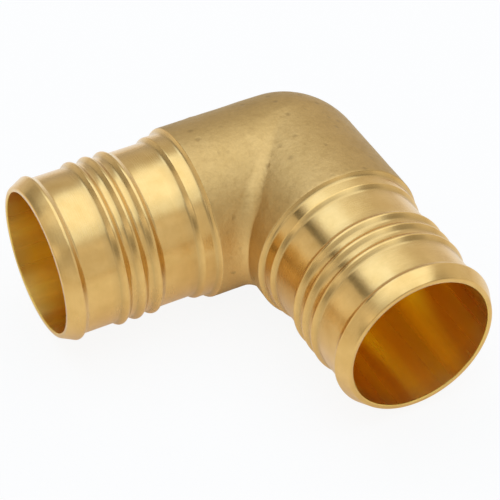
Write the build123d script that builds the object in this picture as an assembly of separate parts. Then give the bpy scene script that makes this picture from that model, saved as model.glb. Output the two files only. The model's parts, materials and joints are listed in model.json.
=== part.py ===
from build123d import *
import math
import os

# One-piece brass insert elbow for plastic pipe, in millimetres, +Z up.
# The two legs are identical and stand at 90 degrees, one along +X and one along +Y.
# The origin is the point where the two leg axes cross.

# --- driving dimensions ---
bore_diameter = 18.9
rim_wall = 0.65
root_wall = 1.05
rib_height = 0.5
body_step = 0.6

body_reach = 15.4
insert_length = 20.4
lead_in_length = 1.85
crest_flat = 0.28
flank_run = 0.62
first_rib_centre = 8.0
rib_pitch = 2.28
rib_count = 3
stop_band_width = 2.3
body_step_run = 0.45
edge_round = 0.12
bore_edge_break = 0.12

crotch_blend = 1.6
drill_overrun = 1.0
drill_point_angle = 118.0

# --- derived sizes ---
bore_radius = bore_diameter / 2
rim_radius = bore_radius + rim_wall
root_radius = bore_radius + root_wall
crest_radius = root_radius + rib_height
body_radius = crest_radius + body_step
centre_to_end = body_reach + insert_length
half_flat = crest_flat / 2
drill_point_length = bore_radius / math.tan(math.radians(drill_point_angle / 2))


def insert_outline():
    """Outside of one leg as (radius, distance from the mouth) points, mouth first."""
    outline = [
        (rim_radius, 0.0),
        (crest_radius, lead_in_length),
        (crest_radius, lead_in_length + crest_flat),
        (root_radius, lead_in_length + crest_flat + flank_run),
    ]
    for index in range(rib_count):
        middle = first_rib_centre + index * rib_pitch
        outline += [
            (root_radius, middle - half_flat - flank_run),
            (crest_radius, middle - half_flat),
            (crest_radius, middle + half_flat),
            (root_radius, middle + half_flat + flank_run),
        ]
    outline += [
        (root_radius, insert_length - stop_band_width),
        (crest_radius, insert_length - stop_band_width + flank_run),
        (crest_radius, insert_length),
        (body_radius, insert_length + body_step_run),
        (body_radius, centre_to_end),
    ]
    return outline


def leg_blank():
    """Solid leg standing on +Z, from the crossing of the axes up to its mouth."""
    outside = [(radius, centre_to_end - reach) for radius, reach in insert_outline()]
    with BuildPart() as leg:
        with BuildSketch(Plane.XZ):
            with BuildLine():
                FilletPolyline((0, centre_to_end), *outside, radius=edge_round)
                Polyline((body_radius, 0), (0, 0), (0, centre_to_end))
            make_face()
        revolve(axis=Axis.Z)
    return leg.part


def bore_drill():
    """Drill standing on +Z: broken mouth edge, straight bore, pointed end past the crossing."""
    with BuildPart() as drill:
        with BuildSketch(Plane.XZ):
            with BuildLine():
                Polyline(
                    (0, centre_to_end),
                    (bore_radius + bore_edge_break, centre_to_end),
                    (bore_radius, centre_to_end - bore_edge_break),
                    (bore_radius, -drill_overrun),
                    (0, -drill_overrun - drill_point_length),
                    (0, centre_to_end),
                )
            make_face()
        revolve(axis=Axis.Z)
    return drill.part


def crotch_edges(body):
    """Inside mitre edges, where the two leg barrels meet in the x = y plane."""
    middles = [(edge, edge @ 0.5) for edge in body.edges()]
    return [edge for edge, middle in middles if middle.X > 1 and abs(middle.X - middle.Y) < 0.01]


along_x = Rotation(0, 90, 0)
along_y = Rotation(-90, 0, 0)

blank = along_x * leg_blank() + along_y * leg_blank() + Sphere(body_radius)
blank = fillet(crotch_edges(blank), crotch_blend)
elbow = blank - along_x * bore_drill() - along_y * bore_drill()
elbow.label = "elbow_fitting"

os.makedirs("parts", exist_ok=True)
export_step(elbow, "parts/elbow_fitting.step")
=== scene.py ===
import json
import math
import random

import bpy
import numpy as np
from mathutils import Matrix, Vector, noise

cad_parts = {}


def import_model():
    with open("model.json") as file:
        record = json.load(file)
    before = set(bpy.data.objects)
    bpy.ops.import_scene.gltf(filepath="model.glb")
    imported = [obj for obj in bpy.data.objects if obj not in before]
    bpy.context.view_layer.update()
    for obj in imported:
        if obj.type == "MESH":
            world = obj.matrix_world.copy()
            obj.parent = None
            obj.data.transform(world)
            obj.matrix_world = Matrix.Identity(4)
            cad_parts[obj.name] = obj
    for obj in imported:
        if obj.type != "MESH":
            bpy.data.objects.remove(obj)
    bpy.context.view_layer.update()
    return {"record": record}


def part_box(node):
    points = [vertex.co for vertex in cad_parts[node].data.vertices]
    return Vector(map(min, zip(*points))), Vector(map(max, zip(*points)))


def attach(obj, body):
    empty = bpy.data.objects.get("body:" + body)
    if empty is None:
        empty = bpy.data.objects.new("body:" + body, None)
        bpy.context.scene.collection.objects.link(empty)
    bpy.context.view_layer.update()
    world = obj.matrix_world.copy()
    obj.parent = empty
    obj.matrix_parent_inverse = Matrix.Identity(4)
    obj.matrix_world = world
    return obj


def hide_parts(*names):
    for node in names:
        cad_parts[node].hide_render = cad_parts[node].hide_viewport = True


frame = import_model()

# A brass crimp elbow: one forged and turned piece that lies on its barrels, with one leg
# along +X and the other along +Y. Its shape is worked out in millimetres; the floor, the
# card, the lamps and the camera's distance are in metres.

MM = 0.001
NODE = "elbow_fitting"

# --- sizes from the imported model, in millimetres ---
_, node_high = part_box(NODE)
mount_radius = {mount["name"]: mount["dims"]["r_mm"] for mount in frame["record"]["mounts"]}
END = node_high[0] / MM
BODY_R = node_high[2] / MM
CREST_R = mount_radius["insert_x"]
BORE_R = mount_radius["waterway_x"]

# --- the turned outline of one leg, in millimetres; reaches are measured from the mouth ---
RIM_WALL = 0.65
RIB_HEIGHT = 0.5
INSERT = 20.4
LEAD_IN = 1.85
CREST_FLAT = 0.28
FLANK = 0.62
FIRST_RIB = 8.0
RIB_PITCH = 2.28
RIBS = 3
BAND = 2.3
BODY_STEP_RUN = 0.45
EDGE_ROUND = 0.28
ROOT_ROUND = 0.60
NEARLY_STRAIGHT = math.radians(89.5)

# --- the corner and the bore, in millimetres ---
CREASE_BLEND = 2.6
CROTCH_BLEND_X = 2.6
CROTCH_BLEND_Y = 0.8
CROTCH_START = 0.72  # the cosine from which the crotch's own blends take over
BORE_BREAK = 0.12
BORE_CREST_BLEND = 0.2
DRILL_OVERRUN = 1.0
DRILL_HALF_ANGLE = math.radians(59.0)
SLIVER = 1e-4  # between the drill end's points where the bore wall stops short of it

# --- mesh density ---
AROUND = 256
FILLET_STEPS = 4
TURNED_STEP = 1.1
BARREL_STEPS = 34
CORNER_STEPS = 30
BORE_STEPS = 12
DRILL_END_STEPS = 7
HALVINGS = 50  # in the search for the drill end's mitre line
SMALLEST = 1e-12  # keeps the normal of a collapsed cell finite

# --- what the forging die leaves, in millimetres ---
WAVES = ((0.35, 0.030), (0.95, 0.012), (2.3, 0.005))  # noise scale per millimetre, height
WAVE_FADE = 1.2
DENT_SEED = 7
DENTS = 26
DENT_RADIUS = (0.28, 0.6)
DENT_DEPTH = (0.02, 0.055)

# how far the painted shade in front of the ribs and the painted light on their rear flanks reach, in
# millimetres
GROOVE_PAINT_REACH = 0.28

# material numbers on the mesh
TURNED, FORGED, BORED = 0, 1, 2

# --- brass colours ---
TURNED_LIGHT = (0.73, 0.474, 0.170, 1)
TURNED_WARM = (0.66, 0.412, 0.134, 1)
TOOL_MARK = (0.48, 0.28, 0.08, 1)
# painted shade, darker in front of each rib
PAINTED_GROOVE_SHADE = (0.43, 0.29, 0.115, 1)
# painted light, lighter on the flank of each rib towards the body
PAINTED_FLANK_LIGHT = (0.80, 0.61, 0.30, 1)
FORGED_LIGHT = (0.602, 0.386, 0.139, 1)
FORGED_WARM = (0.548, 0.344, 0.117, 1)
FORGED_CLOUD = (0.425, 0.26, 0.086, 1)
FORGED_GRAIN = (0.345, 0.213, 0.08, 1)
# painted light, lighter towards the inside of the bend
PAINTED_BEND_LIGHT = (0.78, 0.52, 0.20, 1)
SPECK = (0.28, 0.17, 0.06, 1)
OXIDE_EDGE = (0.68, 0.72, 0.74, 1)
BORE_LIGHT = (0.95, 0.71, 0.105, 1)
BORE_WARM = (0.90, 0.64, 0.07, 1)
# painted light, a plainer tan just inside the mouth
PAINTED_MOUTH_LIGHT = (0.72, 0.50, 0.14, 1)

# --- how much of a colour shows where it is strongest, from 0 to 1 ---
PAINTED_GROOVE_SHADE_SHARE = 0.50
PAINTED_FLANK_LIGHT_SHARE = 0.80
PAINTED_BEND_LIGHT_SHARE = 0.70
PAINTED_MOUTH_LIGHT_SHARE = 0.80
SPECK_SHARE = 0.40

# --- how far fine tool marks stretch a highlight, from 0 to 1 ---
LATHE_MARKS = 0.50
DRILL_MARKS = 0.88

# --- how slowly the bore's streaks change along it ---
STREAK_STRETCH = 0.03

# --- the light, and the room that the brass mirrors ---
PANEL_TURN = -0.19
CARD_COVER = 0.95
ROOM_LEVEL = 0.87
# direction as (azimuth, elevation), angle of full change, angle of no change, factor; in degrees
ROOM_PATCHES = (
    ((29, 11), 7, 17, 0.36),
    ((65, 42), 12, 34, 0.62),
    ((105, 56), 8, 19, 0.68),
    ((150, 36), 10, 24, 0.52),
    ((20, 49), 5, 19, 0.62),
    ((262, 30), 20, 40, 0.80),
    ((29, 29), 4, 14, 1.80),
    ((116, 42), 3, 14, 1.28),
    ((-42, 0), 5, 22, 1.30),
    ((250, -4), 6, 19, 0.78),
)


# ---------------------------------------------------------------- geometry


def rounded(corners, steps):
    """The corners with each one turned into a short arc, wider where the line is hollow."""
    points = [corners[0]]
    for before, corner, after in zip(corners, corners[1:], corners[2:]):
        a = (before - corner).normalized()
        b = (after - corner).normalized()
        half = a.angle(b) / 2
        if half > NEARLY_STRAIGHT:
            points.append(corner)
            continue
        hollow = a.x * b.y - a.y * b.x < 0
        radius = ROOT_ROUND if hollow else EDGE_ROUND
        middle = corner + (a + b).normalized() * (radius / math.sin(half))
        start = corner + a * (radius / math.tan(half)) - middle
        end = corner + b * (radius / math.tan(half)) - middle
        turn = start.angle_signed(end)
        for step in range(steps + 1):
            angle = -turn * step / steps
            c, s = math.cos(angle), math.sin(angle)
            points.append(middle + Vector((c * start.x - s * start.y, s * start.x + c * start.y)))
    points.append(corners[-1])
    return points


def spaced(points, step):
    """The same line with long straight runs divided into lengths of about step."""
    out = [points[0]]
    for a, b in zip(points, points[1:]):
        pieces = max(1, round((b - a).length / step))
        out += [a.lerp(b, i / pieces) for i in range(1, pieces + 1)]
    return out


def leg_outline():
    """(distance from the mouth, radius) along the turned outside of a leg."""
    root = CREST_R - RIB_HEIGHT
    half = CREST_FLAT / 2
    corners = [
        (0.0, BORE_R + BORE_BREAK),
        (0.0, BORE_R + RIM_WALL),
        (LEAD_IN, CREST_R),
        (LEAD_IN + CREST_FLAT, CREST_R),
        (LEAD_IN + CREST_FLAT + FLANK, root),
    ]
    for rib in range(RIBS):
        middle = FIRST_RIB + rib * RIB_PITCH
        corners += [
            (middle - half - FLANK, root),
            (middle - half, CREST_R),
            (middle + half, CREST_R),
            (middle + half + FLANK, root),
        ]
    corners += [
        (INSERT - BAND, root),
        (INSERT - BAND + FLANK, CREST_R),
        (INSERT, CREST_R),
        (INSERT + BODY_STEP_RUN, BODY_R),
        # only gives the last corner its direction, and is dropped again
        (INSERT + BODY_STEP_RUN + 1.0, BODY_R),
    ]
    line = rounded([Vector(corner) for corner in corners], FILLET_STEPS)
    return spaced(line[:-1], TURNED_STEP)


def mirrored(points):
    """The same line on the other leg, run backwards."""
    return [(y, x, z) for x, y, z in reversed(points)]


def barrel(start, c, s, bend):
    """Points along the plain barrel of the X leg, from the body step to where the corner starts."""
    stop = BODY_R * c + bend
    return [
        (start + (stop - start) * step / BARREL_STEPS, BODY_R * c, BODY_R * s)
        for step in range(1, BARREL_STEPS + 1)
    ]


def body_corner(c, s, bends):
    """Points round the corner between the barrels, with the blend radius towards each leg."""
    corner = []
    for step in range(1, CORNER_STEPS):
        turn = math.radians(270 - 90 * step / CORNER_STEPS)
        x = BODY_R * c + bends[0] + bends[0] * math.cos(turn)
        y = BODY_R * c + bends[1] + bends[1] * math.sin(turn)
        corner.append((x, y, BODY_R * s))
    return corner


def outer_line(c, s, outline):
    """Points and material numbers of the outside, from the X mouth round the corner to the Y mouth."""
    leg = [(END - reach, radius * c, radius * s) for reach, radius in outline]
    kinds = [TURNED if reach < INSERT + BODY_STEP_RUN else FORGED for reach, _ in outline]
    kinds += [FORGED] * BARREL_STEPS
    if c > 0:
        crotch = min(1.0, max(0.0, (c - CROTCH_START) / (1 - CROTCH_START)))
        crotch = crotch * crotch * (3 - 2 * crotch)
        blends = (CROTCH_BLEND_X, CROTCH_BLEND_Y)
        bends = [(CREASE_BLEND + (blend - CREASE_BLEND) * crotch) * c for blend in blends]
    else:
        bends = [-BODY_R * c] * 2
    x_side, y_side = (leg + barrel(leg[-1][0], c, s, bend) for bend in bends)
    corner = body_corner(c, s, bends)
    return x_side + corner + mirrored(y_side), kinds + [FORGED] * len(corner) + kinds[::-1]


def drill_end(height):
    """Points of the pointed bore end at one height, from the full bore to the mitre line."""
    slope = math.tan(DRILL_HALF_ANGLE)

    def gap(t):
        radius = BORE_R - slope * (t - DRILL_OVERRUN)
        return radius * abs(radius) - height * height - t * t

    low, high = DRILL_OVERRUN, BORE_R
    for _ in range(HALVINGS):
        t = (low + high) / 2
        low, high = (t, high) if gap(t) > 0 else (low, t)
    out = []
    for step in range(1, DRILL_END_STEPS + 1):
        x = DRILL_OVERRUN + (low - DRILL_OVERRUN) * step / DRILL_END_STEPS
        radius = BORE_R - slope * (x - DRILL_OVERRUN)
        out.append((-x, -math.sqrt(max(radius * radius - height * height, low * low)), height))
    return out


def bore_line(c, s):
    """Points along the bore of the X leg, from its mouth to the mitre line."""
    height = BORE_R * s
    mouth = END - BORE_BREAK
    soft = BORE_CREST_BLEND * c
    stop = BORE_R * c + soft if c > 0 else -min(DRILL_OVERRUN, -BORE_R * c)
    line = [
        (mouth + (stop - mouth) * step / BORE_STEPS, BORE_R * c, height) for step in range(BORE_STEPS + 1)
    ]
    steps = range(1, DRILL_END_STEPS + 1)
    if c > 0:
        turns = [math.radians(270 - 45 * step / DRILL_END_STEPS) for step in steps]
        line += [(stop + soft * math.cos(turn), stop + soft * math.sin(turn), height) for turn in turns]
    elif -BORE_R * c > DRILL_OVERRUN:
        line += drill_end(height)
    else:
        line += [(stop - SLIVER * step, stop - SLIVER * step, height) for step in steps]
    return line


def row(angle, outline):
    """One closed line of the surface at an angle round the legs: its points and material numbers."""
    c, s = math.cos(angle), math.sin(angle)
    outer, kinds = outer_line(c, s, outline)
    bore = bore_line(c, s)
    inner = (bore + mirrored(bore[:-1]))[::-1]
    return outer + inner, kinds + [BORED] * len(inner)


def surface_normals(points):
    """Unit normals of a grid of points that closes on itself both ways."""
    along = np.roll(points, -1, axis=1) - np.roll(points, 1, axis=1)
    around = np.roll(points, -1, axis=0) - np.roll(points, 1, axis=0)
    normals = np.cross(around, along)
    return normals / np.maximum(np.linalg.norm(normals, axis=2, keepdims=True), SMALLEST)


def forge_texture(points, kinds):
    """Small heights, in millimetres, that a forging die leaves on the unturned body."""
    heights = np.zeros(points.shape[:2])
    chooser = random.Random(DENT_SEED)
    body_columns = [j for j, kind in enumerate(kinds) if kind == FORGED]
    dents = []
    for _ in range(DENTS):
        k = chooser.randrange(AROUND)
        j = chooser.choice(body_columns)
        dents.append((points[k, j], chooser.uniform(*DENT_RADIUS), chooser.uniform(*DENT_DEPTH)))
    body_end = END - INSERT - BODY_STEP_RUN
    for j in body_columns:
        for k in range(AROUND):
            p = Vector(points[k, j])
            fade = max(0.0, min(1.0, (body_end - max(p.x, p.y)) / WAVE_FADE))
            heights[k, j] = fade * sum(height * noise.noise(p * scale) for scale, height in WAVES)
    for centre, radius, depth in dents:
        away = np.linalg.norm(points - centre, axis=2)
        heights -= depth * np.exp(-((away / radius) ** 2)) * (np.array(kinds) == FORGED)
    return heights


def groove_shade_and_light(reach):
    """Painted shade in front of the ribs and painted light on the flanks behind them at one reach, each from
    0 to 1.
    """
    half = CREST_FLAT / 2 + FLANK
    ribs = [FIRST_RIB + rib * RIB_PITCH for rib in range(RIBS)]
    before = [middle - half for middle in ribs] + [INSERT - BAND, INSERT]
    behind = [middle + half - FLANK / 2 for middle in ribs] + [LEAD_IN + CREST_FLAT + FLANK / 2]
    nearest = [min(abs(reach - line) for line in lines) for lines in (before, behind)]
    return [math.exp(-((away / GROOVE_PAINT_REACH) ** 2)) for away in nearest]


def build_elbow():
    """The whole fitting as one closed grid of quads with three materials."""
    outline = leg_outline()
    rows = [row(2 * math.pi * (k + 0.5) / AROUND, outline) for k in range(AROUND)]
    kinds = rows[0][1]
    points = np.array([line for line, _ in rows])
    normals = surface_normals(points)
    points = points + normals * forge_texture(points, kinds)[:, :, None]
    # nothing sinks into the floor that the barrels lie on
    points[:, :, 2] = np.maximum(points[:, :, 2], -BODY_R)
    count = points.shape[1]
    faces, materials = [], []
    for k in range(AROUND):
        k2 = (k + 1) % AROUND
        for j in range(count):
            j2 = (j + 1) % count
            faces.append((k * count + j, k * count + j2, k2 * count + j2, k2 * count + j))
            # the face between the rim and the bore belongs to the bore
            at_rim = {kinds[j], kinds[j2]} == {BORED, TURNED}
            materials.append(BORED if at_rim else kinds[j])
    mesh = bpy.data.meshes.new("elbow")
    mesh.from_pydata((points.reshape(-1, 3) * MM).tolist(), [], faces)
    # the painted shade and painted light round the ribs, for each point along the leg
    groove_paint = [groove_shade_and_light(END - max(x, y)) for x, y, _ in points[0]]
    for name, amounts in zip(("painted_shade_before_ribs", "painted_light_behind_ribs"), zip(*groove_paint)):
        mesh.attributes.new(name, "FLOAT", "POINT").data.foreach_set("value", list(amounts) * AROUND)
    mesh.polygons.foreach_set("material_index", materials)
    mesh.polygons.foreach_set("use_smooth", [True] * len(faces))
    mesh.update()
    elbow = bpy.data.objects.new("elbow", mesh)
    bpy.context.scene.collection.objects.link(elbow)
    weighted = elbow.modifiers.new("even_normals", "WEIGHTED_NORMAL")
    weighted.mode = "FACE_AREA"
    weighted.weight = 50
    return elbow


# ---------------------------------------------------------------- shader nodes


class Nodes:
    """Short hand for adding and linking shader nodes."""

    def __init__(self, tree):
        self.tree = tree
        tree.nodes.clear()

    def add(self, kind, **settings):
        node = self.tree.nodes.new(kind)
        for name, value in settings.items():
            setattr(node, name, value)
        return node

    def link(self, source, target):
        self.tree.links.new(source, target)

    def put(self, socket, value):
        if isinstance(value, bpy.types.NodeSocket):
            self.link(value, socket)
        else:
            socket.default_value = value

    def math(self, operation, *values):
        node = self.add("ShaderNodeMath", operation=operation)
        for socket, value in zip(node.inputs, values):
            self.put(socket, value)
        return node.outputs[0]

    def split(self, vector):
        node = self.add("ShaderNodeSeparateXYZ")
        self.link(vector, node.inputs[0])
        return node.outputs

    def join(self, x, y, z):
        node = self.add("ShaderNodeCombineXYZ")
        for socket, value in zip(node.inputs, (x, y, z)):
            self.put(socket, value)
        return node.outputs[0]

    def place(self):
        """The point on the object, in millimetres, and its three parts."""
        coords = self.add("ShaderNodeTexCoord")
        scale = self.add("ShaderNodeVectorMath", operation="SCALE")
        scale.inputs["Scale"].default_value = 1 / MM
        self.link(coords.outputs["Object"], scale.inputs[0])
        return scale.outputs[0], *self.split(scale.outputs[0])

    def on_x_leg(self, x, y):
        """1 on the X leg's side of the mitre and 0 on the other."""
        return self.math("GREATER_THAN", self.math("SUBTRACT", x, y), 0.0)

    def noise(self, vector, scale, detail=4.0, rough=0.55):
        node = self.add("ShaderNodeTexNoise", noise_dimensions="3D")
        self.link(vector, node.inputs["Vector"])
        return self.noise_value(node, scale, detail, rough)

    def noise_along(self, distance, scale, detail, rough):
        """Noise that changes along one distance only."""
        node = self.add("ShaderNodeTexNoise", noise_dimensions="1D")
        self.link(distance, node.inputs["W"])
        return self.noise_value(node, scale, detail, rough)

    def noise_value(self, node, scale, detail, rough):
        node.inputs["Scale"].default_value = scale
        node.inputs["Detail"].default_value = detail
        node.inputs["Roughness"].default_value = rough
        return node.outputs[0]

    def between(self, value, source, target, smooth=False):
        """The value carried from one range to another, and held at its ends."""
        node = self.add("ShaderNodeMapRange", interpolation_type="SMOOTHSTEP" if smooth else "LINEAR")
        for socket, number in zip(node.inputs[1:5], (*source, *target)):
            socket.default_value = number
        self.link(value, node.inputs[0])
        return node.outputs[0]

    def mix_colour(self, factor, a, b):
        node = self.add("ShaderNodeMix", data_type="RGBA")
        self.put(node.inputs[0], factor)
        self.put(node.inputs[6], a)
        self.put(node.inputs[7], b)
        return node.outputs[2]

    def mix_vector(self, factor, a, b):
        node = self.add("ShaderNodeMix", data_type="VECTOR")
        self.put(node.inputs[0], factor)
        self.put(node.inputs[4], a)
        self.put(node.inputs[5], b)
        return node.outputs[1]

    def bump(self, height, distance, normal=None):
        """A normal from a height; the distance is in millimetres."""
        node = self.add("ShaderNodeBump")
        node.inputs["Strength"].default_value = 1.0
        node.inputs["Distance"].default_value = distance * MM
        self.link(height, node.inputs["Height"])
        if normal is not None:
            self.link(normal, node.inputs["Normal"])
        return node.outputs[0]

    def metal(self, colour, roughness, normal):
        shader = self.add("ShaderNodeBsdfPrincipled")
        shader.inputs["Metallic"].default_value = 1.0
        self.put(shader.inputs["Base Color"], colour)
        self.put(shader.inputs["Roughness"], roughness)
        self.link(normal, shader.inputs["Normal"])
        self.surface("ShaderNodeOutputMaterial", shader.outputs[0])
        return shader

    def turned_metal(self, colour, roughness, normal, on_x_leg, marks):
        """Metal whose fine tool marks run round the leg and spread the light along it."""
        shader = self.metal(colour, roughness, normal)
        shader.inputs["Anisotropic"].default_value = marks
        # a quarter turn, so that the highlight stretches across the marks
        shader.inputs["Anisotropic Rotation"].default_value = 0.25
        about_x = self.add("ShaderNodeTangent", direction_type="RADIAL", axis="X")
        about_y = self.add("ShaderNodeTangent", direction_type="RADIAL", axis="Y")
        tangent = self.mix_vector(on_x_leg, about_y.outputs[0], about_x.outputs[0])
        self.link(tangent, shader.inputs["Tangent"])

    def plain(self, kind, colour):
        """A shader of one colour."""
        node = self.add(kind)
        node.inputs["Color"].default_value = (*colour, 1)
        return node.outputs[0]

    def mix_shader(self, factor, a, b):
        node = self.add("ShaderNodeMixShader")
        self.put(node.inputs[0], factor)
        self.link(a, node.inputs[1])
        self.link(b, node.inputs[2])
        return node.outputs[0]

    def add_shader(self, a, b):
        node = self.add("ShaderNodeAddShader")
        self.link(a, node.inputs[0])
        self.link(b, node.inputs[1])
        return node.outputs[0]

    def by_ray(self, lighting, in_mirrors, seen):
        """One shader for lighting, one for reflections and glass, and one for the camera."""
        path = self.add("ShaderNodeLightPath")
        mirror = self.math("MAXIMUM", path.outputs["Is Glossy Ray"], path.outputs["Is Transmission Ray"])
        unseen = self.mix_shader(mirror, lighting, in_mirrors)
        return self.mix_shader(path.outputs["Is Camera Ray"], unseen, seen)

    def surface(self, kind, shader):
        self.link(shader, self.add(kind).inputs["Surface"])


def material(name):
    made = bpy.data.materials.new(name)
    made.use_nodes = True
    return made, Nodes(made.node_tree)


# ---------------------------------------------------------------- brass


def turned_brass():
    """Bright lathe-turned brass with fine rings, painted shade in front of the ribs and painted light on
    their rear flanks.
    """
    made, n = material("turned_brass")
    point, x, y, _ = n.place()
    lathe = n.noise_along(n.math("MAXIMUM", x, y), scale=4.2, detail=5.0, rough=0.75)
    broad = n.noise(point, scale=0.16, detail=3.0)
    mottle = n.noise(point, scale=0.5, detail=5.0, rough=0.6)
    before = n.add("ShaderNodeAttribute", attribute_name="painted_shade_before_ribs").outputs["Fac"]
    behind = n.add("ShaderNodeAttribute", attribute_name="painted_light_behind_ribs").outputs["Fac"]
    colour = n.mix_colour(n.between(mottle, (0.35, 0.7), (0.0, 1.0)), TURNED_LIGHT, TURNED_WARM)
    colour = n.mix_colour(n.between(lathe, (0.3, 0.7), (0.12, 0.0)), colour, TOOL_MARK)
    # painted shade: darker round the foot of each rib's and the band's mouth-side flank, and at the body step
    colour = n.mix_colour(n.math("MULTIPLY", before, PAINTED_GROOVE_SHADE_SHARE), colour, PAINTED_GROOVE_SHADE)
    # painted light: lighter on the rear flank of each rib and of the mouth barb
    colour = n.mix_colour(n.math("MULTIPLY", behind, PAINTED_FLANK_LIGHT_SHARE), colour, PAINTED_FLANK_LIGHT)
    rough = n.between(lathe, (0.3, 0.7), (0.225, 0.255))
    rough = n.math("ADD", rough, n.between(broad, (0.3, 0.7), (-0.03, 0.04)))
    rough = n.math("ADD", rough, n.math("MULTIPLY", before, 0.02))
    normal = n.bump(lathe, distance=0.0025)
    normal = n.bump(n.noise(point, scale=1.6, detail=3.0), distance=0.006, normal=normal)
    n.turned_metal(colour, rough, normal, n.on_x_leg(x, y), LATHE_MARKS)
    return made


def specks(n, point):
    """Small round dark spots, from 0 to 1, that gather in some places."""
    cells = n.add("ShaderNodeTexVoronoi", feature="F1")
    cells.inputs["Scale"].default_value = 0.8
    n.link(point, cells.inputs["Vector"])
    pick = n.add("ShaderNodeSeparateColor")
    n.link(cells.outputs["Color"], pick.inputs[0])
    gathered = n.between(n.noise(point, scale=0.16, detail=2.0), (0.46, 0.60), (0.95, 0.66))
    chosen = n.math("GREATER_THAN", pick.outputs[0], gathered)
    return n.math("MULTIPLY", chosen, n.between(cells.outputs["Distance"], (0.12, 0.40), (1.0, 0.0)))


def forged_brass():
    """Dull forged brass: mottled, grainy, and with painted light that makes it a little brighter towards the
    inside of the bend.
    """
    made, n = material("forged_brass")
    point, x, y, _ = n.place()
    mottle = n.noise(point, scale=0.22, detail=5.0, rough=0.6)
    cloud = n.noise(point, scale=0.9, detail=6.0, rough=0.65)
    fine = n.noise(point, scale=2.6, detail=3.0, rough=0.7)
    grain = n.noise(point, scale=5.5, detail=4.0, rough=0.7)
    spot = specks(n, point)
    inside = n.math("MINIMUM", x, y)
    colour = n.mix_colour(n.between(mottle, (0.35, 0.65), (0.0, 1.0)), FORGED_LIGHT, FORGED_WARM)
    colour = n.mix_colour(n.between(cloud, (0.5, 0.75), (0.0, 0.35)), colour, FORGED_CLOUD)
    colour = n.mix_colour(n.between(fine, (0.35, 0.65), (0.0, 0.22)), colour, FORGED_GRAIN)
    # painted light: brighter towards the crotch between the legs
    colour = n.mix_colour(n.between(inside, (9.0, BODY_R), (0.0, PAINTED_BEND_LIGHT_SHARE)), colour, PAINTED_BEND_LIGHT)
    colour = n.mix_colour(n.math("MULTIPLY", spot, SPECK_SHARE), colour, SPECK)
    rough = n.between(cloud, (0.3, 0.7), (0.42, 0.48))
    rough = n.math("ADD", rough, n.between(grain, (0.3, 0.7), (-0.04, 0.05)))
    normal = n.bump(grain, distance=0.022)
    normal = n.bump(n.noise(point, scale=1.5, detail=4.0), distance=0.05, normal=normal)
    normal = n.bump(n.math("MULTIPLY", spot, -1.0), distance=0.03, normal=normal)
    shader = n.metal(colour, rough, normal)
    # darker where it is seen edge on, as an oxide film makes it
    shader.inputs["Specular Tint"].default_value = OXIDE_EDGE
    return made


def bored_brass():
    """The drilled waterway, with faint streaks drawn along it."""
    made, n = material("bored_brass")
    _, x, y, z = n.place()
    on_x_leg = n.on_x_leg(x, y)
    drawn_x = n.join(n.math("MULTIPLY", x, STREAK_STRETCH), y, z)
    drawn_y = n.join(x, n.math("MULTIPLY", y, STREAK_STRETCH), z)
    streaks = n.noise(n.mix_vector(on_x_leg, drawn_y, drawn_x), scale=0.32, detail=2.0, rough=0.5)
    colour = n.mix_colour(n.between(streaks, (0.35, 0.65), (0.0, 1.0)), BORE_LIGHT, BORE_WARM)
    # painted light: a plainer, tan colour just inside the mouth, where light from outside falls on the bore
    # wall
    depth = n.math("SUBTRACT", END, n.math("MAXIMUM", x, y))
    colour = n.mix_colour(n.between(depth, (0.2, 2.6), (PAINTED_MOUTH_LIGHT_SHARE, 0.0)), colour, PAINTED_MOUTH_LIGHT)
    rough = n.between(streaks, (0.3, 0.7), (0.24, 0.30))
    n.turned_metal(colour, rough, n.bump(streaks, distance=0.0015), on_x_leg, DRILL_MARKS)
    return made


# ---------------------------------------------------------------- studio


def toned(n, level, towards, inner, outer, factor):
    """The level, lowered or raised smoothly by a factor around one direction; angles in degrees."""
    azimuth, elevation = (math.radians(angle) for angle in towards)
    flat = math.cos(elevation)
    facing = n.add("ShaderNodeVectorMath", operation="DOT_PRODUCT")
    n.link(n.add("ShaderNodeTexCoord").outputs["Generated"], facing.inputs[0])
    facing.inputs[1].default_value = (math.cos(azimuth) * flat, math.sin(azimuth) * flat, math.sin(elevation))
    gone, full = math.cos(math.radians(outer)), math.cos(math.radians(inner))
    change = n.between(facing.outputs["Value"], (gone, full), (1.0, factor), smooth=True)
    return n.math("MULTIPLY", level, change)


def world():
    """A pale room: darker and brighter in places to the brass that mirrors it, white to the camera."""
    sky = bpy.data.worlds.new("studio")
    sky.use_nodes = True
    n = Nodes(sky.node_tree)
    level = ROOM_LEVEL
    for patch in ROOM_PATCHES:
        level = toned(n, level, *patch)
    room = n.add("ShaderNodeBackground")
    room.inputs["Color"].default_value = (0.99, 0.99, 0.98, 1)
    n.link(level, room.inputs["Strength"])
    lighting = n.plain("ShaderNodeBackground", (0.50, 0.44, 0.38))
    seen = n.plain("ShaderNodeBackground", (0.985, 0.985, 0.985))
    n.surface("ShaderNodeOutputWorld", n.by_ray(lighting, room.outputs[0], seen))
    bpy.context.scene.world = sky


def floor_material():
    """White to the camera but for the object's faint shadow, and bright in what mirrors it."""
    made, n = material("floor")
    lighting = n.plain("ShaderNodeBsdfDiffuse", (0.82, 0.82, 0.82))
    seen = n.add_shader(
        n.plain("ShaderNodeBsdfDiffuse", (0.10, 0.10, 0.10)),
        n.plain("ShaderNodeEmission", (0.90, 0.905, 0.905)),
    )
    in_mirrors = n.add_shader(
        n.plain("ShaderNodeBsdfDiffuse", (1.0, 0.99, 0.92)),
        n.plain("ShaderNodeEmission", (0.27, 0.265, 0.24)),
    )
    n.surface("ShaderNodeOutputMaterial", n.by_ray(lighting, in_mirrors, seen))
    return made


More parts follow.
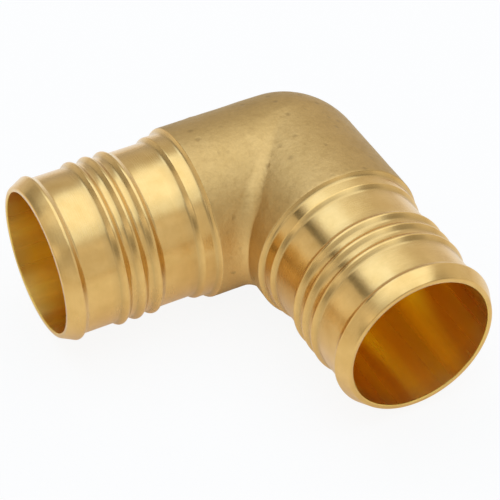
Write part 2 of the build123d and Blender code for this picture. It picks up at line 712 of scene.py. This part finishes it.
def plain_sheet(name, centre, size, surface):
    mesh = bpy.data.meshes.new(name)
    w, d = size[0] / 2, size[1] / 2
    mesh.from_pydata([(-w, -d, 0), (w, -d, 0), (w, d, 0), (-w, d, 0)], [], [(0, 1, 2, 3)])
    mesh.materials.append(surface)
    sheet = bpy.data.objects.new(name, mesh)
    sheet.location = centre
    bpy.context.scene.collection.objects.link(sheet)
    return sheet


def dark_card(centre, size, left_edge, right_edge):
    """A dark card that only mirrors see, faded in from each side over a share of its width."""
    made, n = material("dark_card")
    across = n.split(n.add("ShaderNodeTexCoord").outputs["Generated"])[0]
    from_left = n.between(across, (0.0, left_edge), (0.0, 1.0), smooth=True)
    from_right = n.between(across, (1.0, 1.0 - right_edge), (0.0, 1.0), smooth=True)
    cover = n.math("MULTIPLY", n.math("MULTIPLY", from_left, from_right), CARD_COVER)
    clear = n.add("ShaderNodeBsdfTransparent").outputs[0]
    dark = n.plain("ShaderNodeEmission", (0.05, 0.05, 0.045))
    n.surface("ShaderNodeOutputMaterial", n.mix_shader(cover, clear, dark))
    card = plain_sheet("dark_card", centre, size, made)
    card.visible_camera = False
    card.visible_diffuse = False
    card.visible_shadow = False


def soft_panel(name, centre, size, soft, level, colour):
    """A lamp above the object that fades to nothing over a soft margin inside its edges."""
    light = bpy.data.lights.new(name, "AREA")
    light.shape = "RECTANGLE"
    light.size, light.size_y = size
    light.color = colour
    # an area light's surface shows energy / (area * pi) as its brightness
    light.energy = level * math.pi * light.size * light.size_y
    light.use_nodes = True
    n = Nodes(light.node_tree)
    spot = n.split(n.add("ShaderNodeNewGeometry").outputs["Parametric"])
    strength = 1.0
    for part, length, margin in zip(spot, size, soft):
        inside = n.math("SUBTRACT", 0.5, n.math("ABSOLUTE", n.math("SUBTRACT", part, 0.5)))
        share = n.between(inside, (0.0, margin / length), (0.0, 1.0), smooth=True)
        strength = n.math("MULTIPLY", strength, share)
    glow = n.add("ShaderNodeEmission")
    n.link(strength, glow.inputs["Strength"])
    n.surface("ShaderNodeOutputLight", glow.outputs[0])
    lamp = bpy.data.objects.new(name, light)
    lamp.location = centre
    lamp.rotation_euler = (0, 0, PANEL_TURN)
    lamp.visible_camera = False
    bpy.context.scene.collection.objects.link(lamp)


def camera(azimuth, elevation, roll, distance, target, lens):
    """Azimuth 0 looks along +Y; angles in degrees, distance in metres, target in millimetres."""
    a, e, t = math.radians(azimuth), math.radians(elevation), math.radians(roll)
    back = Vector((math.sin(a) * math.cos(e), -math.cos(a) * math.cos(e), math.sin(e)))
    right = Vector((math.cos(a), math.sin(a), 0))
    up = back.cross(right)
    turned_right = right * math.cos(t) + up * math.sin(t)
    turned_up = up * math.cos(t) - right * math.sin(t)
    data = bpy.data.cameras.new("camera")
    data.lens = lens
    data.sensor_width = 36.0
    data.clip_start, data.clip_end = 0.01, 20.0
    eye = bpy.data.objects.new("camera", data)
    turn = Matrix((turned_right, turned_up, back)).transposed()
    place = Vector(target) * MM + back * distance
    eye.matrix_world = Matrix.Translation(place) @ turn.to_4x4()
    bpy.context.scene.collection.objects.link(eye)
    bpy.context.scene.camera = eye


# ---------------------------------------------------------------- the scene


elbow = build_elbow()
for finish in (turned_brass(), forged_brass(), bored_brass()):
    elbow.data.materials.append(finish)
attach(elbow, "root")
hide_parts(NODE)

plain_sheet("floor", (0, 0, -BODY_R * MM), (6.0, 6.0), floor_material())
dark_card(centre=(0.338, -0.71, 0.40), size=(0.276, 1.08), left_edge=0.72, right_edge=0.14)
world()
soft_panel(
    "overhead",
    centre=(-0.015, -0.0055, 0.20),
    size=(0.36, 0.381),
    soft=(0.06, 0.07),
    level=0.955,
    colour=(0.72, 0.95, 1.33),
)
soft_panel(
    "side_strip",
    centre=(0.050, -0.165, 0.185),
    size=(0.19, 0.18),
    soft=(0.05, 0.06),
    level=0.46,
    colour=(0.55, 0.95, 1.80),
)
camera(
    azimuth=153.352,
    elevation=41.813,
    roll=-0.853,
    distance=0.27752,
    target=(6.984, 3.533, -7.032),
    lens=150.0,
)

scene = bpy.context.scene
scene.view_settings.view_transform = "Standard"
# the light in the bore needs many bounces
scene.cycles.max_bounces = 24
scene.cycles.glossy_bounces = 24
